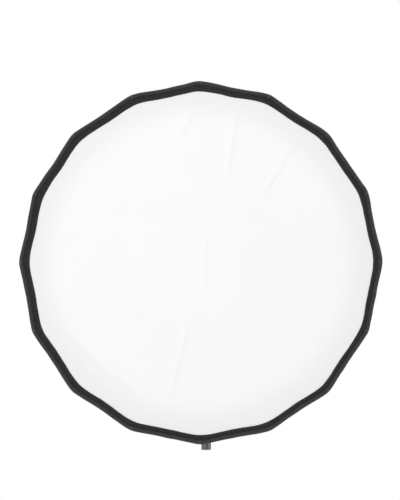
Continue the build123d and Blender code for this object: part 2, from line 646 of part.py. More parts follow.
def tilt_lever():
    """Clamping lever on the bolt's end: a hub and a handle that leans outward."""
    hub = along_x(LEVER_HUB_RADIUS, EYE_OUTER + EYE_CAP + LEVER_GAP, LEVER_HUB_END, TILT_Y, TILT_Z)
    hub = fillet(hub.edges().filter_by(GeomType.CIRCLE), LEVER_HUB_ROUND)
    lean = Vector(*LEVER_LEAN).normalized()
    start = Vector(LEVER_ROOT_X, TILT_Y, TILT_Z)
    stem = Plane(start, z_dir=lean) * Cone(*LEVER_STEM, align=UPRIGHT)
    grip = Plane(start + lean * LEVER_GRIP_START, z_dir=lean) * Cone(*LEVER_GRIP, align=UPRIGHT)
    grip = fillet(grip.edges().filter_by(GeomType.CIRCLE), LEVER_GRIP_ROUND)
    lever = hub + stem + grip
    return lever - along_x(BOLT_RADIUS + RUN_GAP, EYE_OUTER, BOLT_END + MARGIN, TILT_Y, TILT_Z)


# ---- Knobs, each drawn along +Z with its screw pointing down -------------------
def knob_screw(length, grip):
    """Steel screw that runs down from a knob and up into its head."""
    screw = Cylinder(CLAMP_SCREW_RADIUS, length + grip, align=UPRIGHT)
    return Pos(0, 0, -length) * chamfer(screw.edges().sort_by(Axis.Z)[0], SCREW_CHAMFER)


def wing_knob(screw_length):
    """T-shaped clamp knob: a steel screw and a moulded wing."""
    length, width, height = WING_SIZE
    wing = extrude(SlotOverall(length, width), height)
    wing = Pos(0, 0, WING_BASE) * fillet(wing.edges().group_by(Axis.Z)[-1], WING_ROUND)
    hollow = Cylinder(CLAMP_SCREW_RADIUS, WING_SCREW_GRIP, align=UPRIGHT)
    return knob_screw(screw_length, WING_SCREW_GRIP), Cylinder(*WING_NECK, align=UPRIGHT) + wing - hollow


def star_knob(screw_length):
    """Six-lobed lock knob: a steel screw and a moulded head."""
    head = Pos(0, 0, STAR_BASE) * Cylinder(*STAR_HEAD, align=UPRIGHT)
    head += Cylinder(*STAR_NECK, align=UPRIGHT)
    flute_radius, flute_circle = STAR_FLUTE
    flute = Pos(0, 0, MARGIN) * Cylinder(flute_radius, STAR_HEAD[1] + STAR_BASE, align=UPRIGHT)
    for n in range(STAR_LOBES):
        out, over = heading(360 * n / STAR_LOBES)
        head -= Pos(flute_circle * over, flute_circle * out, 0) * flute
    head = fillet(head.edges().group_by(Axis.Z)[-1], STAR_ROUND)
    hollow = Cylinder(CLAMP_SCREW_RADIUS, STAR_SCREW_GRIP, align=UPRIGHT)
    return knob_screw(screw_length, STAR_SCREW_GRIP), head - hollow


def receiver_knob():
    """Wing knob whose screw bears on the post's stud."""
    reach = RECEIVER_BOSS_OUTER + WING_GAP
    place = Location((-reach, POST_Y, RECEIVER_KNOB_Z), (0, -90, 0))
    return [place * solid for solid in wing_knob(reach - STUD_RADIUS - STUD_SCREW_GAP)]


def socket_knob():
    """Wing knob whose screw bears on a stand's stud in the socket."""
    reach = CLAMP_RADIUS + CLAMP_BOSS + WING_GAP
    place = Location((0, POST_Y + reach, CLAMP_Z), (-90, 0, 0))
    return [place * solid for solid in wing_knob(reach - SOCKET_RADIUS - SOCKET_SCREW_GAP)]


def ring_lock_knob():
    """Star knob whose screw bears on the hub."""
    reach = LOCK_LUG_OUTER + STAR_GAP
    place = Location((reach, -LOCK_DEPTH, 0), (0, 90, 0))
    return [place * solid for solid in star_knob(reach - HUB_REAR_RADIUS - LOCK_SCREW_GAP)]


# ---- Post --------------------------------------------------------------------
def post_tube():
    """Riser tube with a side hole for the socket's clamp screw."""
    inner = POST_RADIUS - POST_WALL
    tube = turned_up([(inner, POST_BOTTOM), (POST_RADIUS, POST_BOTTOM), (POST_RADIUS, POST_TOP),
                      (inner, POST_TOP)], POST_Y)
    return tube - along_y(CLAMP_SCREW_RADIUS + CLAMP_HOLE_GAP, POST_Y, POST_Y + THROUGH, 0, CLAMP_Z)


def post_spigot():
    """Turned plug with a shoulder and the grooved stud for the receiver."""
    plug, plug_end = POST_RADIUS - POST_WALL - PLUG_GAP, POST_TOP - PLUG_LENGTH
    neck = STUD_RADIUS - STUD_GROOVE
    neck_low, neck_high = RECEIVER_KNOB_Z - STUD_GROOVE_HALF, RECEIVER_KNOB_Z + STUD_GROOVE_HALF
    return turned_up([(0, plug_end), (plug, plug_end), (plug, POST_TOP), (POST_RADIUS, POST_TOP),
                      (POST_RADIUS, STUD_FOOT), (STUD_RADIUS, STUD_FOOT),
                      (STUD_RADIUS, neck_low - STUD_CHAMFER), (neck, neck_low), (neck, neck_high),
                      (STUD_RADIUS, neck_high + STUD_CHAMFER), (STUD_RADIUS, STUD_TOP - STUD_CHAMFER),
                      (STUD_RADIUS - STUD_CHAMFER, STUD_TOP), (0, STUD_TOP)], POST_Y)


def post_socket():
    """Bush in the post's lower end, bored for a stand's stud."""
    outer = POST_RADIUS - POST_WALL - PLUG_GAP
    top = POST_BOTTOM + SOCKET_DEPTH
    bush = turned_up([(0, top + SOCKET_CROWN), (outer, top + SOCKET_CROWN), (outer, POST_BOTTOM),
                      (SOCKET_RADIUS, POST_BOTTOM), (SOCKET_RADIUS, top), (0, top)], POST_Y)
    return bush - along_y(CLAMP_SCREW_RADIUS + CLAMP_HOLE_GAP, POST_Y, POST_Y + THROUGH, 0, CLAMP_Z)


def socket_clamp():
    """Collar round the post with the threaded boss for the socket's knob."""
    low, high = CLAMP_Z - CLAMP_HEIGHT / 2, CLAMP_Z + CLAMP_HEIGHT / 2
    inner, outer = POST_RADIUS + PLUG_GAP, POST_Y + CLAMP_RADIUS
    collar = turned_up([(inner, low), (CLAMP_RADIUS, low), (CLAMP_RADIUS, high), (inner, high)], POST_Y)
    collar = fillet(collar.edges().filter_by(GeomType.CIRCLE), CLAMP_ROUND)
    collar += along_y(CLAMP_BOSS_RADIUS, outer - CLAMP_BOSS_ROOT, outer + CLAMP_BOSS, 0, CLAMP_Z)
    return collar - along_y(CLAMP_SCREW_RADIUS + RUN_GAP, POST_Y, outer + CLAMP_BOSS + MARGIN, 0, CLAMP_Z)


# ---- Output ------------------------------------------------------------------
def main():
    os.makedirs("parts", exist_ok=True)
    panel, rod, shoe, cap = skin_panel(), rib_rod(), rib_shoe(), rib_cap()
    for n in range(RIB_COUNT):
        turn = n * 2 * HALF_DEG
        write(f"skin_panel_{n + 1:02d}", around(panel, turn))
        write(f"rib_{n + 1:02d}", around(rod, turn), around(shoe, turn), around(cap, turn))
    write("ring_base", ring_base())
    write("hub_sleeve", hub_sleeve())
    write("lamp_adapter", lamp_adapter())
    write("adapter_screws", *adapter_screws())
    write("rib_hub", rib_hub())
    write("hinge_pins", *hinge_pins())
    write("hub_circlip", hub_circlip())
    write("lock_collar", lock_collar())
    write("rear_cuff", rear_cuff())
    write("front_diffuser", front_diffuser())
    write("diffuser_binding", diffuser_binding())
    write("inner_baffle", inner_baffle())
    write("baffle_binding", baffle_binding())
    write("baffle_straps", *baffle_straps())
    write("baffle_hooks", *baffle_hooks())
    write("tilt_arm", tilt_arm())
    write("arm_screws", *arm_screws())
    write("stand_receiver", stand_receiver())
    write("friction_disc", friction_disc())
    write("tilt_bolt", tilt_bolt())
    write("tilt_lever", tilt_lever())
    write("receiver_knob", *receiver_knob())
    write("socket_knob", *socket_knob())
    write("ring_lock_knob", *ring_lock_knob())
    write("post_tube", post_tube())
    write("post_spigot", post_spigot())
    write("post_socket", post_socket())
    write("socket_clamp", socket_clamp())


main()
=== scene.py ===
import bpy
import json
import math
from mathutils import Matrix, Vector, noise


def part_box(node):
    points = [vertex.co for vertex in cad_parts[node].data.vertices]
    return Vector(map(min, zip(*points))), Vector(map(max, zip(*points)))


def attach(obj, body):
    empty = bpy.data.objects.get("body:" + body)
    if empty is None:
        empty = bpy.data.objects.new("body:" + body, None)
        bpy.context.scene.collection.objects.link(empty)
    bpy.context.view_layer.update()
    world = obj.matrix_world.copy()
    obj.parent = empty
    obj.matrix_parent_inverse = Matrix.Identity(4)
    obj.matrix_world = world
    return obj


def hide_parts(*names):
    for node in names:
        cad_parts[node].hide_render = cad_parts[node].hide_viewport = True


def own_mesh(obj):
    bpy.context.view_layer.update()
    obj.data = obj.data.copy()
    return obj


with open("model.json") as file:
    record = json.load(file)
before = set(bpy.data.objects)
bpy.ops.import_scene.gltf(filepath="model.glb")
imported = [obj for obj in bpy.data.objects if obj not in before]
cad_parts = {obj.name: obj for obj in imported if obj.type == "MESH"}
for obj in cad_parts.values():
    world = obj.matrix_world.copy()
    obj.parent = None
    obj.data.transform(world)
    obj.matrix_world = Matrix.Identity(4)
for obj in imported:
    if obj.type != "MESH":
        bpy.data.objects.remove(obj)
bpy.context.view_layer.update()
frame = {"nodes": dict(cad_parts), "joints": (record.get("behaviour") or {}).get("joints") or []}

# Metres. A rib's own axes are radial (out from the softbox's axis), across (along its
# fold axis) and depth (forward, which is -Y).

# ---- Sizes, from the frame ---------------------------------------------------
RIBS = 16
HALF = math.pi / RIBS
FLAT = math.cos(HALF)
rim_low, rim_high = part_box("skin_panel_01")
RIM_RADIUS = rim_high.z
RIM_DEPTH = -rim_low.y
ROOT_DEPTH = -rim_high.y
ROOT_RADIUS = 0.0925
SHELL_BOW = 0.060
SHELL_THICK = 0.0012
CLOTH_THICK = 0.0006
cloth_low, cloth_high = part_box("front_diffuser")
CLOTH_RADIUS = cloth_high.z
CLOTH_BACK = -cloth_high.y
baffle_low, baffle_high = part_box("inner_baffle")
BAFFLE_RADIUS = baffle_high.z
BAFFLE_BACK = -baffle_high.y
fold = next(joint for joint in frame["joints"] if joint["name"] == "frame_fold")
PIVOT_DEPTH, PIVOT_RADIUS = -fold["pos_m"][1], fold["pos_m"][2]
FOLD_ANGLE = math.radians(fold["range_deg"][1])

FORWARD = Vector((0, -1, 0))
RIM_FLAT = RIM_RADIUS * FLAT
SEGMENTS = (0.0, 0.12, 0.28, 0.45, 0.64, 0.82, 0.993)     # where a panel is split into stretches
HOLLOW = 0.006              # how far the cloth is pulled in between two ribs
RIDGE_SOFT = 0.16           # roundness of the shell over a rib
INNER_SOFT = 0.45           # roundness of the front tape's inner corners
TAPE_INNER = 0.4198         # flat radius of the front tape's inner edge
HEM_HALF = 0.0050           # half of the rolled hem's width
HEM_HALF_DEPTH = 0.0078
HEM_PROUD = 0.0006          # how far the hem stands ahead of the shell's rim
HEM_OUT = 0.0012            # and how far outside it
HEM_CORNER = 0.0046
HEM_STITCH_PITCH = 0.0042
LIP_INNER = 0.4158          # flat radius of the loop tape's inner edge
TAPE_THICK = 0.0026         # front tape, with the cloth under it
TAPE_STITCH_PITCH = 0.0040
TAPE_STITCH_ROWS = (0.16, 0.84)     # as shares of the tape's width
SEAM_HALF = 0.0055
SEAM_THICK = 0.0009
SHOE_END = 0.1095           # distance from the axis where a rib's shoe ends
CAP_START = 0.4305          # and where its cap begins
FINISH_STEP = 0.0005        # how sharply one finish gives way to the next
BINDING_WIDTH = 0.015
STRAPS = 8
STRAP_HALF = 0.0075
STRAP_THICK = 0.0009
CUFF_RADIUS = 0.0902
CUFF_DEPTH = 0.0288


# ---- Geometry helpers --------------------------------------------------------
def polar(k):
    """Angle of rib k from +Z towards +X."""
    return 2 * HALF * k


def on_rib(k, radial, across, depth):
    """Point of the part's frame from rib k's own coordinates."""
    s, c = math.sin(polar(k)), math.cos(polar(k))
    return Vector((radial * s + across * c, -depth, radial * c - across * s))


def at_angle(phi, radius, depth):
    """Point of the part's frame at a polar angle."""
    return Vector((radius * math.sin(phi), -depth, radius * math.cos(phi)))


def corner_scale(v, soft):
    """Radius over flat radius at v, which is 0 on a rib and 1 midway to the next."""
    eased = (math.sqrt(v * v + soft * soft) - soft) / (math.sqrt(1 + soft * soft) - soft)
    return 1 / math.cos(HALF * (1 - eased))


def side_place(phi):
    """Distance from the nearest rib, from 0 to 1, at a polar angle."""
    turn = phi / (2 * HALF)
    return 2 * abs(turn - round(turn))


def arc_circle(start, end, bow):
    """Centre and radius of the arc that bows out between two (radius, depth) points."""
    across, along = end[0] - start[0], end[1] - start[1]
    chord = math.hypot(across, along)
    radius = chord**2 / (8 * bow) + bow / 2
    back = radius - bow
    middle = ((start[0] + end[0]) / 2, (start[1] + end[1]) / 2)
    return (middle[0] - along / chord * back, middle[1] + across / chord * back), radius


SHELL_CENTRE, SHELL_ARC = arc_circle((ROOT_RADIUS * FLAT, ROOT_DEPTH), (RIM_FLAT, RIM_DEPTH), SHELL_BOW)
ARC_START = math.atan2(ROOT_DEPTH - SHELL_CENTRE[1], ROOT_RADIUS * FLAT - SHELL_CENTRE[0])
ARC_END = math.atan2(RIM_DEPTH - SHELL_CENTRE[1], RIM_FLAT - SHELL_CENTRE[0])
SHELL_LENGTH = SHELL_ARC * (ARC_END - ARC_START)


def shell_line(u):
    """Flat radius, depth and outward (radius, depth) normal along the shell."""
    turn = ARC_START + (ARC_END - ARC_START) * u
    normal = (math.cos(turn), math.sin(turn))
    return SHELL_CENTRE[0] + SHELL_ARC * normal[0], SHELL_CENTRE[1] + SHELL_ARC * normal[1], normal


def wobble(phi, size, grain, seed):
    """Smooth fixed irregularity round the rim."""
    return size * noise.noise(Vector((math.sin(phi) * grain, math.cos(phi) * grain, seed)))


def rim_shift(phi):
    """How far the rim stands out of true at a polar angle: slack sides sink in at their middles."""
    side = math.floor(phi / (2 * HALF)) % RIBS
    sink = 0.0024 * noise.noise(Vector((side * 1.7, 0.5, 0.5)))
    return wobble(phi, 0.0016, 5.5, 0.3) + wobble(phi, 0.0007, 17.0, 2.3) - sink * side_place(phi) ** 3


def shell_point(k, u, v, lift):
    """Point of the shell's cloth on panel k, lifted along its outward normal."""
    flat, depth, normal = shell_line(u)
    phi = polar(k) + v * HALF
    side = abs(v)
    pulled = HOLLOW * math.sin(math.pi * min(u * 1.05, 1)) * math.sin(math.pi * side / 2) ** 2
    gathers = 0.0016 * math.exp(-u / 0.05) * math.cos(RIBS * 4 * phi)
    place = at_angle(phi, flat, depth)
    creases = 0.0022 * noise.noise(place * 14) * math.sin(math.pi * u)
    pulls = 0.0010 * noise.noise(Vector((phi * 26, u * 5, 3.0))) * math.exp(-((u - 0.18) / 0.16) ** 2)
    lift += gathers - pulled + (creases + pulls) * (0.25 + side) + rim_shift(phi) * math.exp((u - 1) / 0.08)
    radius = (flat + lift * normal[0]) * corner_scale(side, RIDGE_SOFT)
    return at_angle(phi, radius, depth + lift * normal[1])


def new_object(name, points, faces, materials, face_materials=None, cloth=None, flat_faces=0):
    """Smooth mesh object from lists, its last faces flat, with an optional cloth coordinate."""
    mesh = bpy.data.meshes.new(name)
    mesh.from_pydata([tuple(p) for p in points], [], faces)
    for material in materials:
        mesh.materials.append(material)
    if face_materials:
        mesh.polygons.foreach_set("material_index", face_materials)
    mesh.polygons.foreach_set("use_smooth", [True] * (len(faces) - flat_faces) + [False] * flat_faces)
    if cloth:
        layer = mesh.attributes.new("cloth", "FLOAT_VECTOR", "POINT")
        layer.data.foreach_set("vector", [x for place in cloth for x in place])
    mesh.validate()
    mesh.update()
    obj = bpy.data.objects.new(name, mesh)
    bpy.context.scene.collection.objects.link(obj)
    return obj


def grid_faces(rows, columns, first=0, flip=False, wrap=False):
    """Quads of a grid of points, in row order; wrap joins the last column to the first."""
    faces = []
    for i in range(rows - 1):
        for j in range(columns if wrap else columns - 1):
            a, b = first + i * columns + j, first + i * columns + (j + 1) % columns
            quad = (a, b, b + columns, a + columns)
            faces.append(quad[::-1] if flip else quad)
    return faces


def two_layers(name, outer, inner, materials, cloth):
    """Closed cloth from two grids of points: outer in the first material, inner in the last.

    A shell panel's rows run forward and its columns run with the polar angle, which turns its
    faces outward.
    """
    rows, columns = len(outer), len(outer[0])
    count = rows * columns
    points = [p for row in outer for p in row] + [p for row in inner for p in row]
    places = [p for row in cloth for p in row] * 2
    faces = grid_faces(rows, columns, flip=True) + grid_faces(rows, columns, count)
    kinds = [0] * ((rows - 1) * (columns - 1)) + [len(materials) - 1] * ((rows - 1) * (columns - 1))
    border = list(range(columns)) + [i * columns + columns - 1 for i in range(1, rows)]
    border += [(rows - 1) * columns + j for j in range(columns - 2, -1, -1)]
    border += [i * columns for i in range(rows - 2, 0, -1)]
    for a, b in zip(border, border[1:] + border[:1]):
        faces.append((a, b, b + count, a + count))
        kinds.append(0)
    return new_object(name, points, faces, materials, kinds, places, flat_faces=len(border))


def loop_sweep(name, sections, materials, cloth=None, closed=False):
    """Tube through a list of closed sections, capped unless it closes on itself."""
    rows, columns = len(sections), len(sections[0])
    points = [p for section in sections for p in section]
    faces = grid_faces(rows, columns, wrap=True)
    if closed:
        last = (rows - 1) * columns
        for j in range(columns):
            n = (j + 1) % columns
            faces.append((last + j, last + n, n, j))
    else:
        faces.append(tuple(range(columns - 1, -1, -1)))
        faces.append(tuple(range((rows - 1) * columns, rows * columns)))
    places = [p for section in cloth for p in section] if cloth else None
    return new_object(name, points, faces, materials, None, places)


def rounded_loop(half_width, half_height, corner, steps=5):
    """Closed outline of a rounded rectangle about the origin, as (x, y) pairs."""
    loop = []
    for n, (sx, sy) in enumerate(((1, 1), (-1, 1), (-1, -1), (1, -1))):
        for i in range(steps + 1):
            turn = math.pi / 2 * (n + i / steps)
            loop.append((sx * (half_width - corner) + corner * math.cos(turn),
                         sy * (half_height - corner) + corner * math.sin(turn)))
    return loop


def side_steps(count, crowd=1.6):
    """Places from -1 to 1, closer together near 0."""
    steps = [(2 * i / count - 1) for i in range(count + 1)]
    return [math.copysign(abs(s) ** crowd, s) for s in steps]


# ---- Materials ---------------------------------------------------------------
class Shader:
    """Small helper that wires up one Principled material."""

    def __init__(self, name):
        self.material = bpy.data.materials.new(name)
        self.material.use_nodes = True
        self.tree = self.material.node_tree
        self.bsdf = self.tree.nodes["Principled BSDF"]
        self.object_place = self.node("ShaderNodeTexCoord").outputs["Object"]

    def node(self, kind, **values):
        made = self.tree.nodes.new(kind)
        for key, value in values.items():
            setattr(made, key, value)
        return made

    def join(self, source, target):
        self.tree.links.new(source, target)

    def set(self, **values):
        for key, value in values.items():
            self.bsdf.inputs[key.replace("_", " ")].default_value = value

    def cloth_place(self):
        return self.node("ShaderNodeAttribute", attribute_name="cloth").outputs["Vector"]

    def noise(self, scale, detail=4.0, place=None, rough=0.55):
        made = self.node("ShaderNodeTexNoise")
        made.inputs["Scale"].default_value = scale
        made.inputs["Detail"].default_value = detail
        made.inputs["Roughness"].default_value = rough
        self.join(place or self.object_place, made.inputs["Vector"])
        return made.outputs["Fac"]

    def cells(self, scale, place=None):
        made = self.node("ShaderNodeTexVoronoi")
        made.inputs["Scale"].default_value = scale
        self.join(place or self.object_place, made.inputs["Vector"])
        return made.outputs["Distance"]

    def bands(self, direction, spacing, place, profile="SIN"):
        """Stripes a given distance apart."""
        made = self.node("ShaderNodeTexWave", bands_direction=direction, wave_profile=profile)
        made.inputs["Scale"].default_value = math.pi / 10 / spacing
        self.join(place, made.inputs["Vector"])
        return made.outputs["Fac"]

    def math(self, kind, a, b):
        made = self.node("ShaderNodeMath", operation=kind)
        for n, value in enumerate((a, b)):
            if isinstance(value, (int, float)):
                made.inputs[n].default_value = value
            else:
                self.join(value, made.inputs[n])
        return made.outputs[0]

    def ramp(self, source, low, high):
        """0 below low, 1 above high."""
        made = self.node("ShaderNodeMapRange", interpolation_type="SMOOTHSTEP")
        made.inputs["From Min"].default_value = low
        made.inputs["From Max"].default_value = high
        self.join(source, made.inputs["Value"])
        return made.outputs["Result"]

    def blend(self, share, first, second):
        """Colour between two, each a colour or a socket."""
        made = self.node("ShaderNodeMix", data_type="RGBA")
        self.join(share, made.inputs[0])
        for n, value in ((6, first), (7, second)):
            if isinstance(value, tuple):
                made.inputs[n].default_value = (*value, 1)
            else:
                self.join(value, made.inputs[n])
        return made.outputs[2]

    def between(self, share, low, high):
        """Number between two."""
        made = self.node("ShaderNodeMapRange")
        made.inputs["To Min"].default_value = low
        made.inputs["To Max"].default_value = high
        self.join(share, made.inputs["Value"])
        return made.outputs["Result"]

    def bumps(self, *layers, bevel=0.0):
        """Bump layers as (height, strength, distance), over an optional rounded edge."""
        under = None
        if bevel:
            made = self.node("ShaderNodeBevel")
            made.inputs["Radius"].default_value = bevel
            under = made.outputs["Normal"]
        for height, strength, distance in layers:
            made = self.node("ShaderNodeBump")
            made.inputs["Strength"].default_value = strength
            made.inputs["Distance"].default_value = distance
            self.join(height, made.inputs["Height"])
            if under:
                self.join(under, made.inputs["Normal"])
            under = made.outputs["Normal"]
        self.join(under, self.bsdf.inputs["Normal"])

    def radius(self):
        """Distance from the softbox's axis."""
        split = self.node("ShaderNodeSeparateXYZ")
        self.join(self.object_place, split.inputs[0])
        across = self.math("MULTIPLY", split.outputs["X"], split.outputs["X"])
        up = self.math("MULTIPLY", split.outputs["Z"], split.outputs["Z"])
        return self.math("SQRT", self.math("ADD", across, up), 0.0)

    def colour(self, socket):
        self.join(socket, self.bsdf.inputs["Base Color"])

    def roughness(self, socket):
        self.join(socket, self.bsdf.inputs["Roughness"])


def black_nylon():
    """Coated nylon: fine plain weave with a heavier ripstop grid, slight sheen."""
    s = Shader("black_nylon")
    cloth = s.cloth_place()
    weave = s.math("MULTIPLY", s.bands("X", 0.0007, cloth), s.bands("Y", 0.0007, cloth))
    grid = s.math("MAXIMUM", s.ramp(s.bands("X", 0.006, cloth), 0.93, 1.0),
                  s.ramp(s.bands("Y", 0.006, cloth), 0.93, 1.0))
    patches = s.noise(9.0, 5)
    base = s.blend(patches, (0.0135, 0.0135, 0.0145), (0.024, 0.024, 0.026))
    s.colour(s.blend(s.math("MULTIPLY", grid, 0.35), base, (0.042, 0.042, 0.044)))
    s.roughness(s.between(s.noise(60.0, 3), 0.42, 0.56))
    s.bumps((s.noise(38.0, 5), 0.30, 0.0016), (grid, 0.5, 0.0002), (weave, 0.35, 0.0002))
    s.set(Sheen_Weight=0.12, Sheen_Roughness=0.45, Specular_IOR_Level=0.42)
    return s.material


def silver_lining():
    """Pebbled reflective coating on the inside of the shell."""
    s = Shader("silver_lining")
    pebble = s.cells(330.0)
    s.colour(s.blend(s.noise(12.0, 4), (0.66, 0.67, 0.69), (0.80, 0.81, 0.82)))
    s.roughness(s.between(s.noise(45.0, 3), 0.28, 0.42))
    s.bumps((s.noise(30.0, 5), 0.35, 0.0018), (pebble, 0.55, 0.0007))
    s.set(Metallic=0.85)
    return s.material


def woven_tape(name, dark, light, rib=0.0016, sheen=0.18):
    """Grosgrain tape: ribs across its length, thread colour varied."""
    s = Shader(name)
    cloth = s.cloth_place()
    ribs = s.bands("X", rib, cloth)
    threads = s.bands("Y", 0.0006, cloth)
    lift = s.math("MULTIPLY", ribs, s.noise(300.0, 2))
    s.colour(s.blend(s.math("MULTIPLY", s.math("ADD", ribs, s.noise(26.0, 4)), 0.5), dark, light))
    s.roughness(s.between(s.noise(70.0, 3), 0.62, 0.82))
    s.bumps((s.noise(42.0, 4), 0.35, 0.0012), (ribs, 0.6, 0.00045), (threads, 0.3, 0.0002),
            (lift, 0.3, 0.0003))
    s.set(Sheen_Weight=sheen, Sheen_Roughness=0.5, Specular_IOR_Level=0.3)
    return s.material


def loop_pile():
    """Soft loop side of hook-and-loop tape."""
    s = Shader("loop_pile")
    loops = s.cells(900.0)
    s.colour(s.blend(s.noise(200.0, 4), (0.010, 0.010, 0.011), (0.036, 0.036, 0.038)))
    s.set(Roughness=0.95, Sheen_Weight=0.35, Sheen_Roughness=0.6, Specular_IOR_Level=0.15)
    s.bumps((loops, 0.9, 0.0009), (s.noise(120.0, 3), 0.3, 0.0006))
    return s.material


def white_cloth(name, rim):
    """Matt white polyester, with painted shade: its colour darkens towards the tape round its edge."""
    s = Shader(name)
    cloth = s.cloth_place()
    weave = s.math("MULTIPLY", s.bands("X", 0.0006, cloth), s.bands("Y", 0.0006, cloth))
    away = s.radius()
    # Painted shade: the colour darkens over the last 85 mm towards the tape round the cloth's edge.
    edge = s.ramp(away, rim - 0.085, rim - 0.004)
    patch = s.noise(5.5, 3)
    base = s.blend(patch, CLOTH_BRIGHT, CLOTH_SHADE)
    s.colour(s.blend(s.math("MULTIPLY", edge, 0.85), base, CLOTH_PAINTED_SHADE))
    s.roughness(s.between(s.noise(40.0, 3), 0.82, 0.95))
    s.bumps((s.noise(16.0, 4), 0.10, 0.002), (weave, 0.25, 0.0002))
    s.set(Specular_IOR_Level=0.15, Sheen_Weight=0.05)
    return s.material


def thread(name, colour):
    """Twisted sewing thread."""
    s = Shader(name)
    s.colour(s.blend(s.noise(800.0, 2), tuple(0.75 * c for c in colour), colour))
    s.set(Roughness=0.7, Sheen_Weight=0.2)
    s.bumps((s.bands("DIAGONAL", 0.0007, s.object_place), 0.5, 0.0001))
    return s.material


def powder_coat():
    """Cast aluminium under a textured black powder coat, rubbed on its edges."""
    s = Shader("powder_coat")
    grain = s.noise(700.0, 3)
    rubbed = s.ramp(s.node("ShaderNodeNewGeometry").outputs["Pointiness"], 0.56, 0.66)
    worn = s.math("MULTIPLY", rubbed, s.ramp(s.noise(90.0, 4), 0.45, 0.65))
    base = s.blend(s.noise(45.0, 5), (0.017, 0.017, 0.018), (0.025, 0.025, 0.0265))
    s.colour(s.blend(worn, base, (0.060, 0.060, 0.063)))
    s.roughness(s.between(grain, 0.42, 0.62))
    s.bumps((grain, 0.45, 0.0004), bevel=0.0007)
    return s.material


def moulded(name, dark, light, low=0.38, high=0.55):
    """Moulded plastic with a fine spark-eroded texture."""
    s = Shader(name)
    grain = s.noise(1100.0, 3)
    s.colour(s.blend(s.noise(30.0, 4), dark, light))
    s.roughness(s.between(s.noise(55.0, 3), low, high))
    s.bumps((grain, 0.35, 0.00025), bevel=0.0006)
    s.set(Specular_IOR_Level=0.5)
    return s.material


def turned_metal(name, dark, light, low, high, groove, bevel=0.0004):
    """Machined metal with fine lines left by the tool."""
    s = Shader(name)
    lines = s.node("ShaderNodeMapping")
    lines.inputs["Scale"].default_value = groove
    s.join(s.object_place, lines.inputs["Vector"])
    marks = s.noise(60.0, 5, lines.outputs["Vector"], 0.7)
    s.colour(s.blend(s.noise(18.0, 3), dark, light))
    s.roughness(s.between(marks, low, high))
    s.bumps((marks, 0.12, 0.0002), bevel=bevel)
    s.set(Metallic=1.0)
    return s.material


def post_finish():
    """Grey anodised tube with fine drawing lines; the soft lengthwise bands in its colour are painted
    reflections.
    """
    s = Shader("post_anodised")
    lengthwise = s.node("ShaderNodeMapping")
    lengthwise.inputs["Scale"].default_value = (1, 1, 0.01)
    s.join(s.object_place, lengthwise.inputs["Vector"])
    painted_reflection_bands = s.noise(130.0, 2, lengthwise.outputs["Vector"])
    fine = s.noise(1500.0, 3, lengthwise.outputs["Vector"])
    # Painted reflections: the colour runs in light and dark lengthwise bands, standing in for the tube's
    # vertical highlights.
    s.colour(s.blend(s.ramp(painted_reflection_bands, 0.36, 0.62), (0.070, 0.071, 0.074), (0.215, 0.218, 0.226)))
    s.roughness(s.between(fine, 0.26, 0.42))
    s.bumps((fine, 0.15, 0.0002), bevel=0.0004)
    s.set(Metallic=0.9)
    return s.material


def pressed_fibre():
    """Friction fibre."""
    s = Shader("pressed_fibre")
    s.colour(s.blend(s.noise(420.0, 4), (0.10, 0.06, 0.035), (0.22, 0.15, 0.10)))
    s.set(Roughness=0.88)
    s.bumps((s.noise(600.0, 4), 0.5, 0.0004))
    return s.material


def rib_finish():
    """Satin steel rod, in a nylon shoe at the hub and a rubber cap at the rim."""
    s = Shader("rib_finish")
    away = s.radius()
    past_shoe = s.ramp(away, SHOE_END, SHOE_END + FINISH_STEP)
    in_cap = s.ramp(away, CAP_START, CAP_START + FINISH_STEP)
    steel = s.math("MULTIPLY", past_shoe, s.math("SUBTRACT", 1.0, in_cap))
    metal = s.blend(s.noise(60.0, 4), (0.40, 0.41, 0.43), (0.52, 0.53, 0.55))
    plastic = s.blend(s.noise(80.0, 3), (0.018, 0.018, 0.019), (0.030, 0.030, 0.032))
    s.colour(s.blend(steel, plastic, metal))
    s.roughness(s.between(s.math("MULTIPLY", steel, s.noise(200.0, 3)), 0.55, 0.22))
    s.join(steel, s.bsdf.inputs["Metallic"])
    s.bumps((s.noise(500.0, 3), 0.2, 0.0002))
    return s.material


CLOTH_BRIGHT = (0.865, 0.866, 0.868)
CLOTH_SHADE = (0.835, 0.836, 0.840)
# Colour of the painted shade near the tape round the cloth's edge
CLOTH_PAINTED_SHADE = (0.775, 0.776, 0.780)

NYLON = black_nylon()
SILVER = silver_lining()
HEM_TAPE = woven_tape("hem_tape", (0.012, 0.012, 0.0125), (0.040, 0.040, 0.041), sheen=0.12)
FRONT_TAPE = woven_tape("front_tape", (0.006, 0.006, 0.0065), (0.019, 0.019, 0.020), sheen=0.06)
SEAM_TAPE = woven_tape("seam_tape", (0.013, 0.013, 0.014), (0.034, 0.034, 0.036))
ELASTIC = woven_tape("elastic", (0.012, 0.012, 0.013), (0.038, 0.038, 0.040), rib=0.0022)
LOOP = loop_pile()
WHITE = white_cloth("white_cloth", TAPE_INNER)
INNER_WHITE = white_cloth("inner_white_cloth", BAFFLE_RADIUS)
BLACK_THREAD = thread("black_thread", (0.035, 0.035, 0.036))
LIGHT_THREAD = thread("light_thread", (0.085, 0.085, 0.087))
CAST = powder_coat()
HUB_PLASTIC = moulded("hub_plastic", (0.019, 0.019, 0.020), (0.034, 0.034, 0.036))
KNOB_PLASTIC = moulded("knob_plastic", (0.014, 0.014, 0.015), (0.026, 0.026, 0.027), 0.3, 0.48)
SATIN = turned_metal("satin_metal", (0.33, 0.34, 0.35), (0.43, 0.44, 0.455), 0.34, 0.50, (1, 30, 1))
STEEL = turned_metal("zinc_steel", (0.31, 0.31, 0.325), (0.42, 0.42, 0.43), 0.34, 0.50, (8, 8, 8))
POST = post_finish()
FIBRE = pressed_fibre()
RIB = rib_finish()

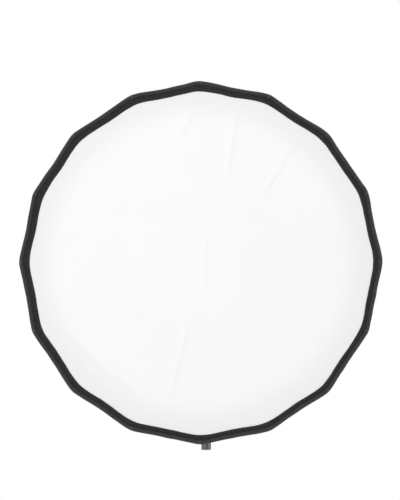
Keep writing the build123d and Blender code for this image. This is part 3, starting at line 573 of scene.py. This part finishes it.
# ---- Carried-over CAD nodes --------------------------------------------------
NODE_FINISH = {
    "ring_base": CAST, "tilt_arm": CAST, "stand_receiver": CAST, "socket_clamp": CAST,
    "hub_sleeve": SATIN, "lamp_adapter": SATIN,
    "adapter_screws": STEEL, "arm_screws": STEEL, "hinge_pins": STEEL, "hub_circlip": STEEL,
    "tilt_bolt": STEEL, "post_spigot": STEEL,
    "rib_hub": HUB_PLASTIC, "lock_collar": HUB_PLASTIC, "post_socket": HUB_PLASTIC,
    "baffle_hooks": KNOB_PLASTIC, "tilt_lever": KNOB_PLASTIC, "receiver_knob": KNOB_PLASTIC,
    "socket_knob": KNOB_PLASTIC, "ring_lock_knob": KNOB_PLASTIC,
    "friction_disc": FIBRE, "post_tube": POST,
}
NODE_FINISH.update({f"rib_{k + 1:02d}": RIB for k in range(RIBS)})
for node, finish in NODE_FINISH.items():
    mesh = frame["nodes"][node].data
    mesh.materials.clear()
    mesh.materials.append(finish)


# ---- Shell -------------------------------------------------------------------
def folded_share(u):
    """How much of its width a panel keeps at u when the ribs are folded."""
    flat, depth, _ = shell_line(u)
    radius = flat / FLAT
    folded = PIVOT_RADIUS + (radius - PIVOT_RADIUS) * math.cos(FOLD_ANGLE)
    folded -= (depth - PIVOT_DEPTH) * math.sin(FOLD_ANGLE)
    return min(1.0, folded / radius)


def crumple(obj, k, u):
    """Ride on rib k, and take a mesh of its own where folding would narrow its panel."""
    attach(obj, f"rib_{k + 1:02d}")
    keep = folded_share(u)
    if keep < 1:
        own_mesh(obj)


def shell_panel(k, part):
    """One stretch of the panel centred on rib k: black outside, silver inside."""
    low, high = SEGMENTS[part], SEGMENTS[part + 1]
    rows = max(3, round((high - low) * SHELL_LENGTH / 0.009))
    sides = side_steps(22)
    outer, inner, cloth = [], [], []
    for i in range(rows + 1):
        u = low + (high - low) * i / rows
        flat, _, _ = shell_line(u)
        outer.append([shell_point(k, u, v, 0) for v in sides])
        inner.append([shell_point(k, u, v, -SHELL_THICK) for v in sides])
        cloth.append([(u * SHELL_LENGTH, v * HALF * flat, 0) for v in sides])
    obj = two_layers(f"shell_{k + 1:02d}_{part + 1}", outer, inner, [NYLON, SILVER], cloth)
    crumple(obj, k, low)
    return obj


def seam_tape(k):
    """Tape sewn along the shell's seam over rib k."""
    rows, sides = 80, [-1, -0.8, -0.4, 0, 0.4, 0.8, 1]
    outer, inner, cloth = [], [], []
    for i in range(rows + 1):
        u = 0.004 + 0.985 * i / rows
        flat, _, _ = shell_line(u)
        reach = SEAM_HALF / (HALF * flat)
        crown = [SEAM_THICK * (1 - 0.75 * abs(s) ** 6) for s in sides]
        outer.append([shell_point(k, u, s * reach, c) for s, c in zip(sides, crown)])
        inner.append([shell_point(k, u, s * reach, -0.0001) for s in sides])
        cloth.append([(u * SHELL_LENGTH, s * SEAM_HALF, 0) for s in sides])
    obj = two_layers(f"seam_tape_{k + 1:02d}", outer, inner, [SEAM_TAPE], cloth)
    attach(obj, f"rib_{k + 1:02d}")


def rim_sections(k, outline, soft, steps=26):
    """Sections round panel k's stretch of the rim from a (flat radius, depth) outline."""
    sections, cloth = [], []
    for v in side_steps(steps, 1.4):
        phi = polar(k) + v * HALF
        scale = corner_scale(abs(v), soft)
        out = rim_shift(phi)
        ahead = wobble(phi, 0.0012, 9.0, 5.1)
        sections.append([at_angle(phi, (r + out) * scale, d + ahead) for r, d in outline])
        cloth.append([(phi * RIM_FLAT, n * 0.002, 0) for n in range(len(outline))])
    return sections, cloth


def hem(k):
    """Rolled binding over the shell's front edge."""
    radius, depth = RIM_FLAT - HEM_HALF + HEM_OUT, RIM_DEPTH - HEM_HALF_DEPTH + HEM_PROUD
    outline = [(radius + x, depth + y) for x, y in rounded_loop(HEM_HALF, HEM_HALF_DEPTH, HEM_CORNER)]
    sections, cloth = rim_sections(k, outline, RIDGE_SOFT)
    obj = loop_sweep(f"hem_{k + 1:02d}", sections, [HEM_TAPE], cloth)
    crumple(obj, k, SEGMENTS[-2])


def lip(k):
    """Loop tape inside the rim, which the front cloth sticks to."""
    inner, outer, back, front = LIP_INNER, RIM_FLAT - 0.0070, RIM_DEPTH - 0.0082, RIM_DEPTH - 0.0062
    outline = [(outer, front), (outer - 0.006, front + 0.0002), (inner + 0.006, front + 0.0002),
               (inner + 0.001, front), (inner, (front + back) / 2), (inner + 0.001, back), (outer, back)]
    sections, cloth = rim_sections(k, outline, RIDGE_SOFT)
    obj = loop_sweep(f"lip_{k + 1:02d}", sections, [LOOP], cloth)
    crumple(obj, k, SEGMENTS[-2])


def stitch(points, faces, centre, along, up, length=0.0030, width=0.00042, rise=0.00035):
    """One sewn stitch: a low six-sided bead."""
    side = along.cross(up).normalized()
    first = len(points)
    points += [centre - along * length / 2, centre - along * length * 0.28 + side * width + up * rise * 0.4,
               centre + along * length * 0.28 + side * width + up * rise * 0.4, centre + along * length / 2,
               centre + along * length * 0.28 - side * width + up * rise * 0.4,
               centre - along * length * 0.28 - side * width + up * rise * 0.4,
               centre + up * rise, centre - up * rise]
    for n in range(6):
        a, b = first + n, first + (n + 1) % 6
        faces.append((a, b, first + 6))
        faces.append((b, a, first + 7))


def tip_pocket(k):
    """Webbing pocket behind the lip that holds rib k's cap."""
    centre_radius, centre_depth = 0.4386, 0.4530
    lean = math.atan2(1, 3.3)
    sections, cloth = [], []
    for i in range(13):
        along = 0.010 * (2 * i / 12 - 1)
        swell = 1 - 0.16 * abs(2 * i / 12 - 1) ** 3
        radial = centre_radius + along * math.sin(lean)
        depth = centre_depth + along * math.cos(lean)
        loop = rounded_loop(0.0098 * swell, 0.0042 * swell, 0.0034)
        sections.append([on_rib(k, radial + y, x, depth) for x, y in loop])
        cloth.append([(along, n * 0.002, 0) for n in range(len(loop))])
    obj = loop_sweep(f"tip_pocket_{k + 1:02d}", sections, [SEAM_TAPE], cloth)
    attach(obj, f"rib_{k + 1:02d}")


def hem_stitches(k):
    """Row of stitches round panel k's stretch of the hem, with a tack across it over the rib."""
    points, faces = [], []
    row, front = RIM_FLAT - HEM_HALF + 0.0030, RIM_DEPTH + HEM_PROUD
    steps = round(2 * RIM_FLAT * math.tan(HALF) / HEM_STITCH_PITCH)
    turns = [polar(k) + HALF * (2 * (i + 0.5) / steps - 1) for i in range(steps)]
    for turn in turns:
        ends = []
        for phi in (turn - 0.001, turn + 0.001):
            radius = (row + rim_shift(phi)) * corner_scale(side_place(phi), RIDGE_SOFT)
            ends.append(at_angle(phi, radius, front + wobble(phi, 0.0012, 9.0, 5.1)))
        stitch(points, faces, (ends[0] + ends[1]) / 2, (ends[1] - ends[0]).normalized(), FORWARD)
    across = on_rib(k, 0, 1, 0)
    for i in range(9):
        radial = (RIM_FLAT - HEM_HALF + HEM_OUT + rim_shift(polar(k))) / FLAT - 0.005 + 0.0010 * i
        place = on_rib(k, radial, 0, front + wobble(polar(k), 0.0012, 9.0, 5.1))
        stitch(points, faces, place, across, FORWARD, 0.0024)
    obj = new_object(f"hem_stitches_{k + 1:02d}", points, faces, [LIGHT_THREAD])
    crumple(obj, k, SEGMENTS[-2])


for k in range(RIBS):
    parts = [shell_panel(k, part) for part in range(len(SEGMENTS) - 1)]
    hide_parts(f"skin_panel_{k + 1:02d}")
    seam_tape(k)
    hem(k)
    hem_stitches(k)
    lip(k)
    tip_pocket(k)


# ---- Round pieces ------------------------------------------------------------
def round_sweep(name, outline_at, count, materials, body, pitch):
    """Closed ring swept round the axis; outline_at(phi) gives (radius, depth) pairs, anticlockwise."""
    sections, cloth = [], []
    for i in range(count):
        phi = 2 * math.pi * i / count
        outline = outline_at(phi)
        sections.append([at_angle(phi, r, d) for r, d in outline])
        cloth.append([(phi * pitch, n * 0.002, 0) for n in range(len(outline))])
    obj = loop_sweep(name, sections, materials, cloth, closed=True)
    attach(obj, body)
    return obj


def cuff_outline(phi):
    """Gathered elastic cuff round the hub."""
    pleat = 0.0004 * math.cos(80 * phi) + 0.0003 * math.cos(33 * phi + 1)
    loop = rounded_loop(0.0019, 0.0042, 0.0017, 4)
    return [(CUFF_RADIUS + pleat + x, CUFF_DEPTH + 0.4 * pleat + y) for x, y in loop]


cuff = round_sweep("elastic_cuff", cuff_outline, 768, [ELASTIC], "rotor", 0.09)
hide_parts("rear_cuff")

# Faint folds left in the front cloth by storage, each from one (x, z) point to another.
CREASES = (
    ((-0.010, 0.397), (-0.052, 0.312), 0.0028),
    ((0.092, 0.379), (0.067, 0.223), 0.0031),
    ((0.221, 0.280), (0.164, 0.181), 0.0028),
    ((-0.035, -0.166), (-0.077, -0.340), 0.0031),
    ((-0.332, -0.174), (-0.169, -0.315), 0.0036),
    ((-0.300, -0.205), (-0.215, -0.290), 0.0028),
    ((0.012, 0.060), (0.010, -0.075), 0.0020),
)


def crease_height(x, z):
    """Total height of the creases at a place on the front cloth."""
    height = 0.0
    for (x0, z0), (x1, z1), size in CREASES:
        run = Vector((x1 - x0, z1 - z0))
        place = Vector((x - x0, z - z0))
        along = place.dot(run) / run.length_squared
        away = (place.x * run.y - place.y * run.x) / run.length
        ends = math.exp(-(max(0, abs(along - 0.5) - 0.35) / 0.18) ** 2)
        height += size * math.exp(-(away / 0.0065) ** 2) * ends
    return height


def front_height(phi, share, x, z):
    """How far the front cloth stands ahead of its plane."""
    billow = 0.0030 * (1 - share**2)
    slack = math.sin(math.pi * min(1, (1 - share) / 0.12 + 0.1))
    tension = 0.0012 * share**7 * math.cos(RIBS * phi) * slack
    drift = 0.0012 * noise.noise(Vector((x * 7, 0.5, z * 7))) * (1 - share**6)
    held = min(1, max(0, (0.955 - share) / 0.12))
    return (billow + tension + drift + crease_height(x, z)) * held * held * (3 - 2 * held)


def disc_sheet(name, edge_at, height_at, back, thick, material, rings, spokes):
    """Closed two-layer sheet over a star-shaped outline, from its middle to its edge."""
    points, cloth, faces, kinds = [], [], [], []
    for layer in (0, 1):
        first = len(points)
        points.append(Vector((0, -(back + height_at(0, 0, 0, 0) + (thick if layer == 0 else 0)), 0)))
        cloth.append((0, 0, 0))
        for i in range(1, rings + 1):
            share = (i / rings) ** 0.9
            for j in range(spokes):
                phi = 2 * math.pi * j / spokes
                radius = edge_at(phi) * share
                x, z = radius * math.sin(phi), radius * math.cos(phi)
                ahead = back + height_at(phi, share, x, z) + (thick if layer == 0 else 0)
                points.append(Vector((x, -ahead, z)))
                cloth.append((x, z, 0))
        for j in range(spokes):
            n = (j + 1) % spokes
            fan = (first, first + 1 + n, first + 1 + j)
            faces.append(fan if layer == 0 else fan[::-1])
        faces += grid_faces(rings, spokes, first + 1, flip=layer == 1, wrap=True)
    half = 1 + rings * spokes
    edge = 1 + (rings - 1) * spokes
    for j in range(spokes):
        n = (j + 1) % spokes
        faces.append((edge + j, edge + n, half + edge + n, half + edge + j))
    obj = new_object(name, points, faces, [material], None, cloth)
    return obj


def polygon_edge(flat, soft):
    """Outline of a sixteen-sided cloth with eased corners."""
    return lambda phi: flat * corner_scale(side_place(phi), soft)


front = disc_sheet("front_cloth", polygon_edge(CLOTH_RADIUS * FLAT - 0.002, 0.2), front_height,
                   CLOTH_BACK, CLOTH_THICK, WHITE, 70, 384)
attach(front, "diffuser")
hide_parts("front_diffuser")


def tape_edges(phi):
    """Inner and outer radius of the front tape, which was stuck on a little off centre."""
    v = side_place(phi)
    off_centre = 0.0022 * math.cos(phi + math.radians(50))
    wave = wobble(phi, 0.0013, 7.0, 8.1) + wobble(phi, 0.0005, 24.0, 4.4)
    inner = TAPE_INNER - off_centre + wave + 0.5 * rim_shift(phi)
    inner *= 0.2 + 0.8 * corner_scale(v, INNER_SOFT)
    outer = (CLOTH_RADIUS * FLAT + 0.0006 + rim_shift(phi)) * corner_scale(v, RIDGE_SOFT)
    return inner, outer


def tape_outline(phi):
    """Section of the tape round the front cloth, thinner at its edges."""
    inner, outer = tape_edges(phi)
    back = CLOTH_BACK - 0.0001
    front_edge = CLOTH_BACK + TAPE_THICK + wobble(phi, 0.0009, 14, 1.2)
    shares = (0.0, 0.06, 0.16, 0.30, 0.50, 0.70, 0.84, 0.94, 1.0)
    lifts = (0.25, 0.75, 0.88, 1.0, 1.08, 1.0, 0.88, 0.75, 0.25)
    top = [(inner + (outer - inner) * s, back + (front_edge - back) * h) for s, h in zip(shares, lifts)]
    return [(inner + 0.0005, back), (outer - 0.0005, back)] + top[::-1]


tape = round_sweep("front_tape_band", tape_outline, 640, [FRONT_TAPE], "diffuser", RIM_FLAT)
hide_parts("diffuser_binding")


def tape_stitches(share):
    """Row of stitches round the front tape at a share of its width."""
    points, faces = [], []

    def place(turn):
        inner, outer = tape_edges(turn)
        return at_angle(turn, inner + (outer - inner) * share, CLOTH_BACK + TAPE_THICK)

    phi = 0.0
    while phi < 2 * math.pi:
        here, ahead = place(phi), place(phi + 0.002)
        stitch(points, faces, here, (ahead - here).normalized(), FORWARD)
        phi += TAPE_STITCH_PITCH / RIM_FLAT
    obj = new_object(f"tape_stitches_{round(share * 100)}", points, faces, [BLACK_THREAD])
    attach(obj, "diffuser")


for row_share in TAPE_STITCH_ROWS:
    tape_stitches(row_share)


# ---- Inner cloth ---------------------------------------------------------------
def baffle_height(phi, share, x, z):
    """Slight waviness of the inner cloth between its straps."""
    pull = 0.0014 * share**4 * math.cos(STRAPS * phi)
    return pull + 0.0018 * noise.noise(Vector((x * 8, 3.5, z * 8))) * (1 - share**6)


inner = disc_sheet("inner_cloth", lambda phi: BAFFLE_RADIUS - 0.001, baffle_height, BAFFLE_BACK,
                   CLOTH_THICK, INNER_WHITE, 40, 192)
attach(inner, "baffle")
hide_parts("inner_baffle")


def binding_outline(phi):
    """Section of the tape round the inner cloth."""
    ripple = baffle_height(phi, 1, 0, 0)
    inner_edge, outer_edge = BAFFLE_RADIUS - BINDING_WIDTH, BAFFLE_RADIUS
    back, top = BAFFLE_BACK - 0.0005 + ripple, BAFFLE_BACK + 0.0017 + ripple
    return [(inner_edge, back), (outer_edge, back), (outer_edge, top - 0.0007), (outer_edge - 0.003, top),
            (inner_edge + 0.003, top), (inner_edge, top - 0.0006)]


binding = round_sweep("inner_cloth_tape", binding_outline, 384, [SEAM_TAPE], "baffle",
                      BAFFLE_RADIUS)
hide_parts("baffle_binding")


def strap(n):
    """Elastic strap out to a rib, stretched narrower at its middle.

    Its sides run against the polar angle, so that its front layer faces forward.
    """
    k = 2 * n
    near, far = BAFFLE_RADIUS - 0.014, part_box("baffle_straps")[1].z + 0.001
    front_rows, back_rows, cloth = [], [], []
    sides = (1, 0.85, 0.4, 0, -0.4, -0.85, -1)
    for i in range(25):
        share = i / 24
        radial = near + (far - near) * share
        half_width = STRAP_HALF * (1 - 0.14 * math.sin(math.pi * share))
        depth = BAFFLE_BACK + 0.0003 + 0.0006 * math.sin(math.pi * share)
        front_rows.append([on_rib(k, radial, s * half_width, depth + STRAP_THICK) for s in sides])
        back_rows.append([on_rib(k, radial, s * half_width, depth) for s in sides])
        cloth.append([(radial, s * half_width, 0) for s in sides])
    obj = two_layers(f"strap_{n + 1}", front_rows, back_rows, [ELASTIC], cloth)
    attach(obj, "baffle")
    return obj


straps = [strap(n) for n in range(STRAPS)]
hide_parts("baffle_straps")

# ---- Floor, light and camera ---------------------------------------------------
def plain_floor():
    """Pale round floor well below the post."""
    points = [at_angle(2 * math.pi * i / 96, 3.2, 0) for i in range(96)]
    points = [Vector((p.x, p.z, -1.30)) for p in points]
    s = Shader("pale_floor")
    s.colour(s.blend(s.noise(3.0, 4), (0.86, 0.86, 0.86), (0.90, 0.90, 0.90)))
    s.set(Roughness=0.6)
    floor = new_object("floor", points, [tuple(range(95, -1, -1))], [s.material], flat_faces=1)


def soft_light(name, place, aim, size, power):
    """Large square lamp pointed at a place."""
    lamp = bpy.data.lights.new(name, "AREA")
    lamp.shape = "SQUARE"
    lamp.size = size
    lamp.energy = power
    obj = bpy.data.objects.new(name, lamp)
    obj.location = place
    obj.rotation_euler = (Vector(aim) - Vector(place)).to_track_quat("-Z", "Y").to_euler()
    bpy.context.scene.collection.objects.link(obj)


plain_floor()
world = bpy.data.worlds.new("white_studio")
world.use_nodes = True
world.node_tree.nodes["Background"].inputs["Color"].default_value = (1, 1, 1, 1)
world.node_tree.nodes["Background"].inputs["Strength"].default_value = 1.0
bpy.context.scene.world = world
bpy.context.scene.view_settings.view_transform = "Standard"
soft_light("key", (-1.8, -3.4, 2.3), (0, -0.2, 0), 1.8, 31)
soft_light("rear_fill", (2.0, 2.4, 1.6), (0, 0, 0), 1.6, 30)

VIEW_DISTANCE = 4.5
CAMERA_PLACE = Vector((0.145, -RIM_DEPTH - VIEW_DISTANCE, -0.10))
CAMERA_AIM = Vector((-0.0003, -RIM_DEPTH, 0.0305))
camera_data = bpy.data.cameras.new("camera")
camera_data.sensor_width = 36.0
camera_data.lens = 130.7
camera = bpy.data.objects.new("camera", camera_data)
camera.location = CAMERA_PLACE
camera.rotation_euler = (CAMERA_AIM - CAMERA_PLACE).to_track_quat("-Z", "Y").to_euler()
bpy.context.scene.collection.objects.link(camera)
bpy.context.scene.camera = camera
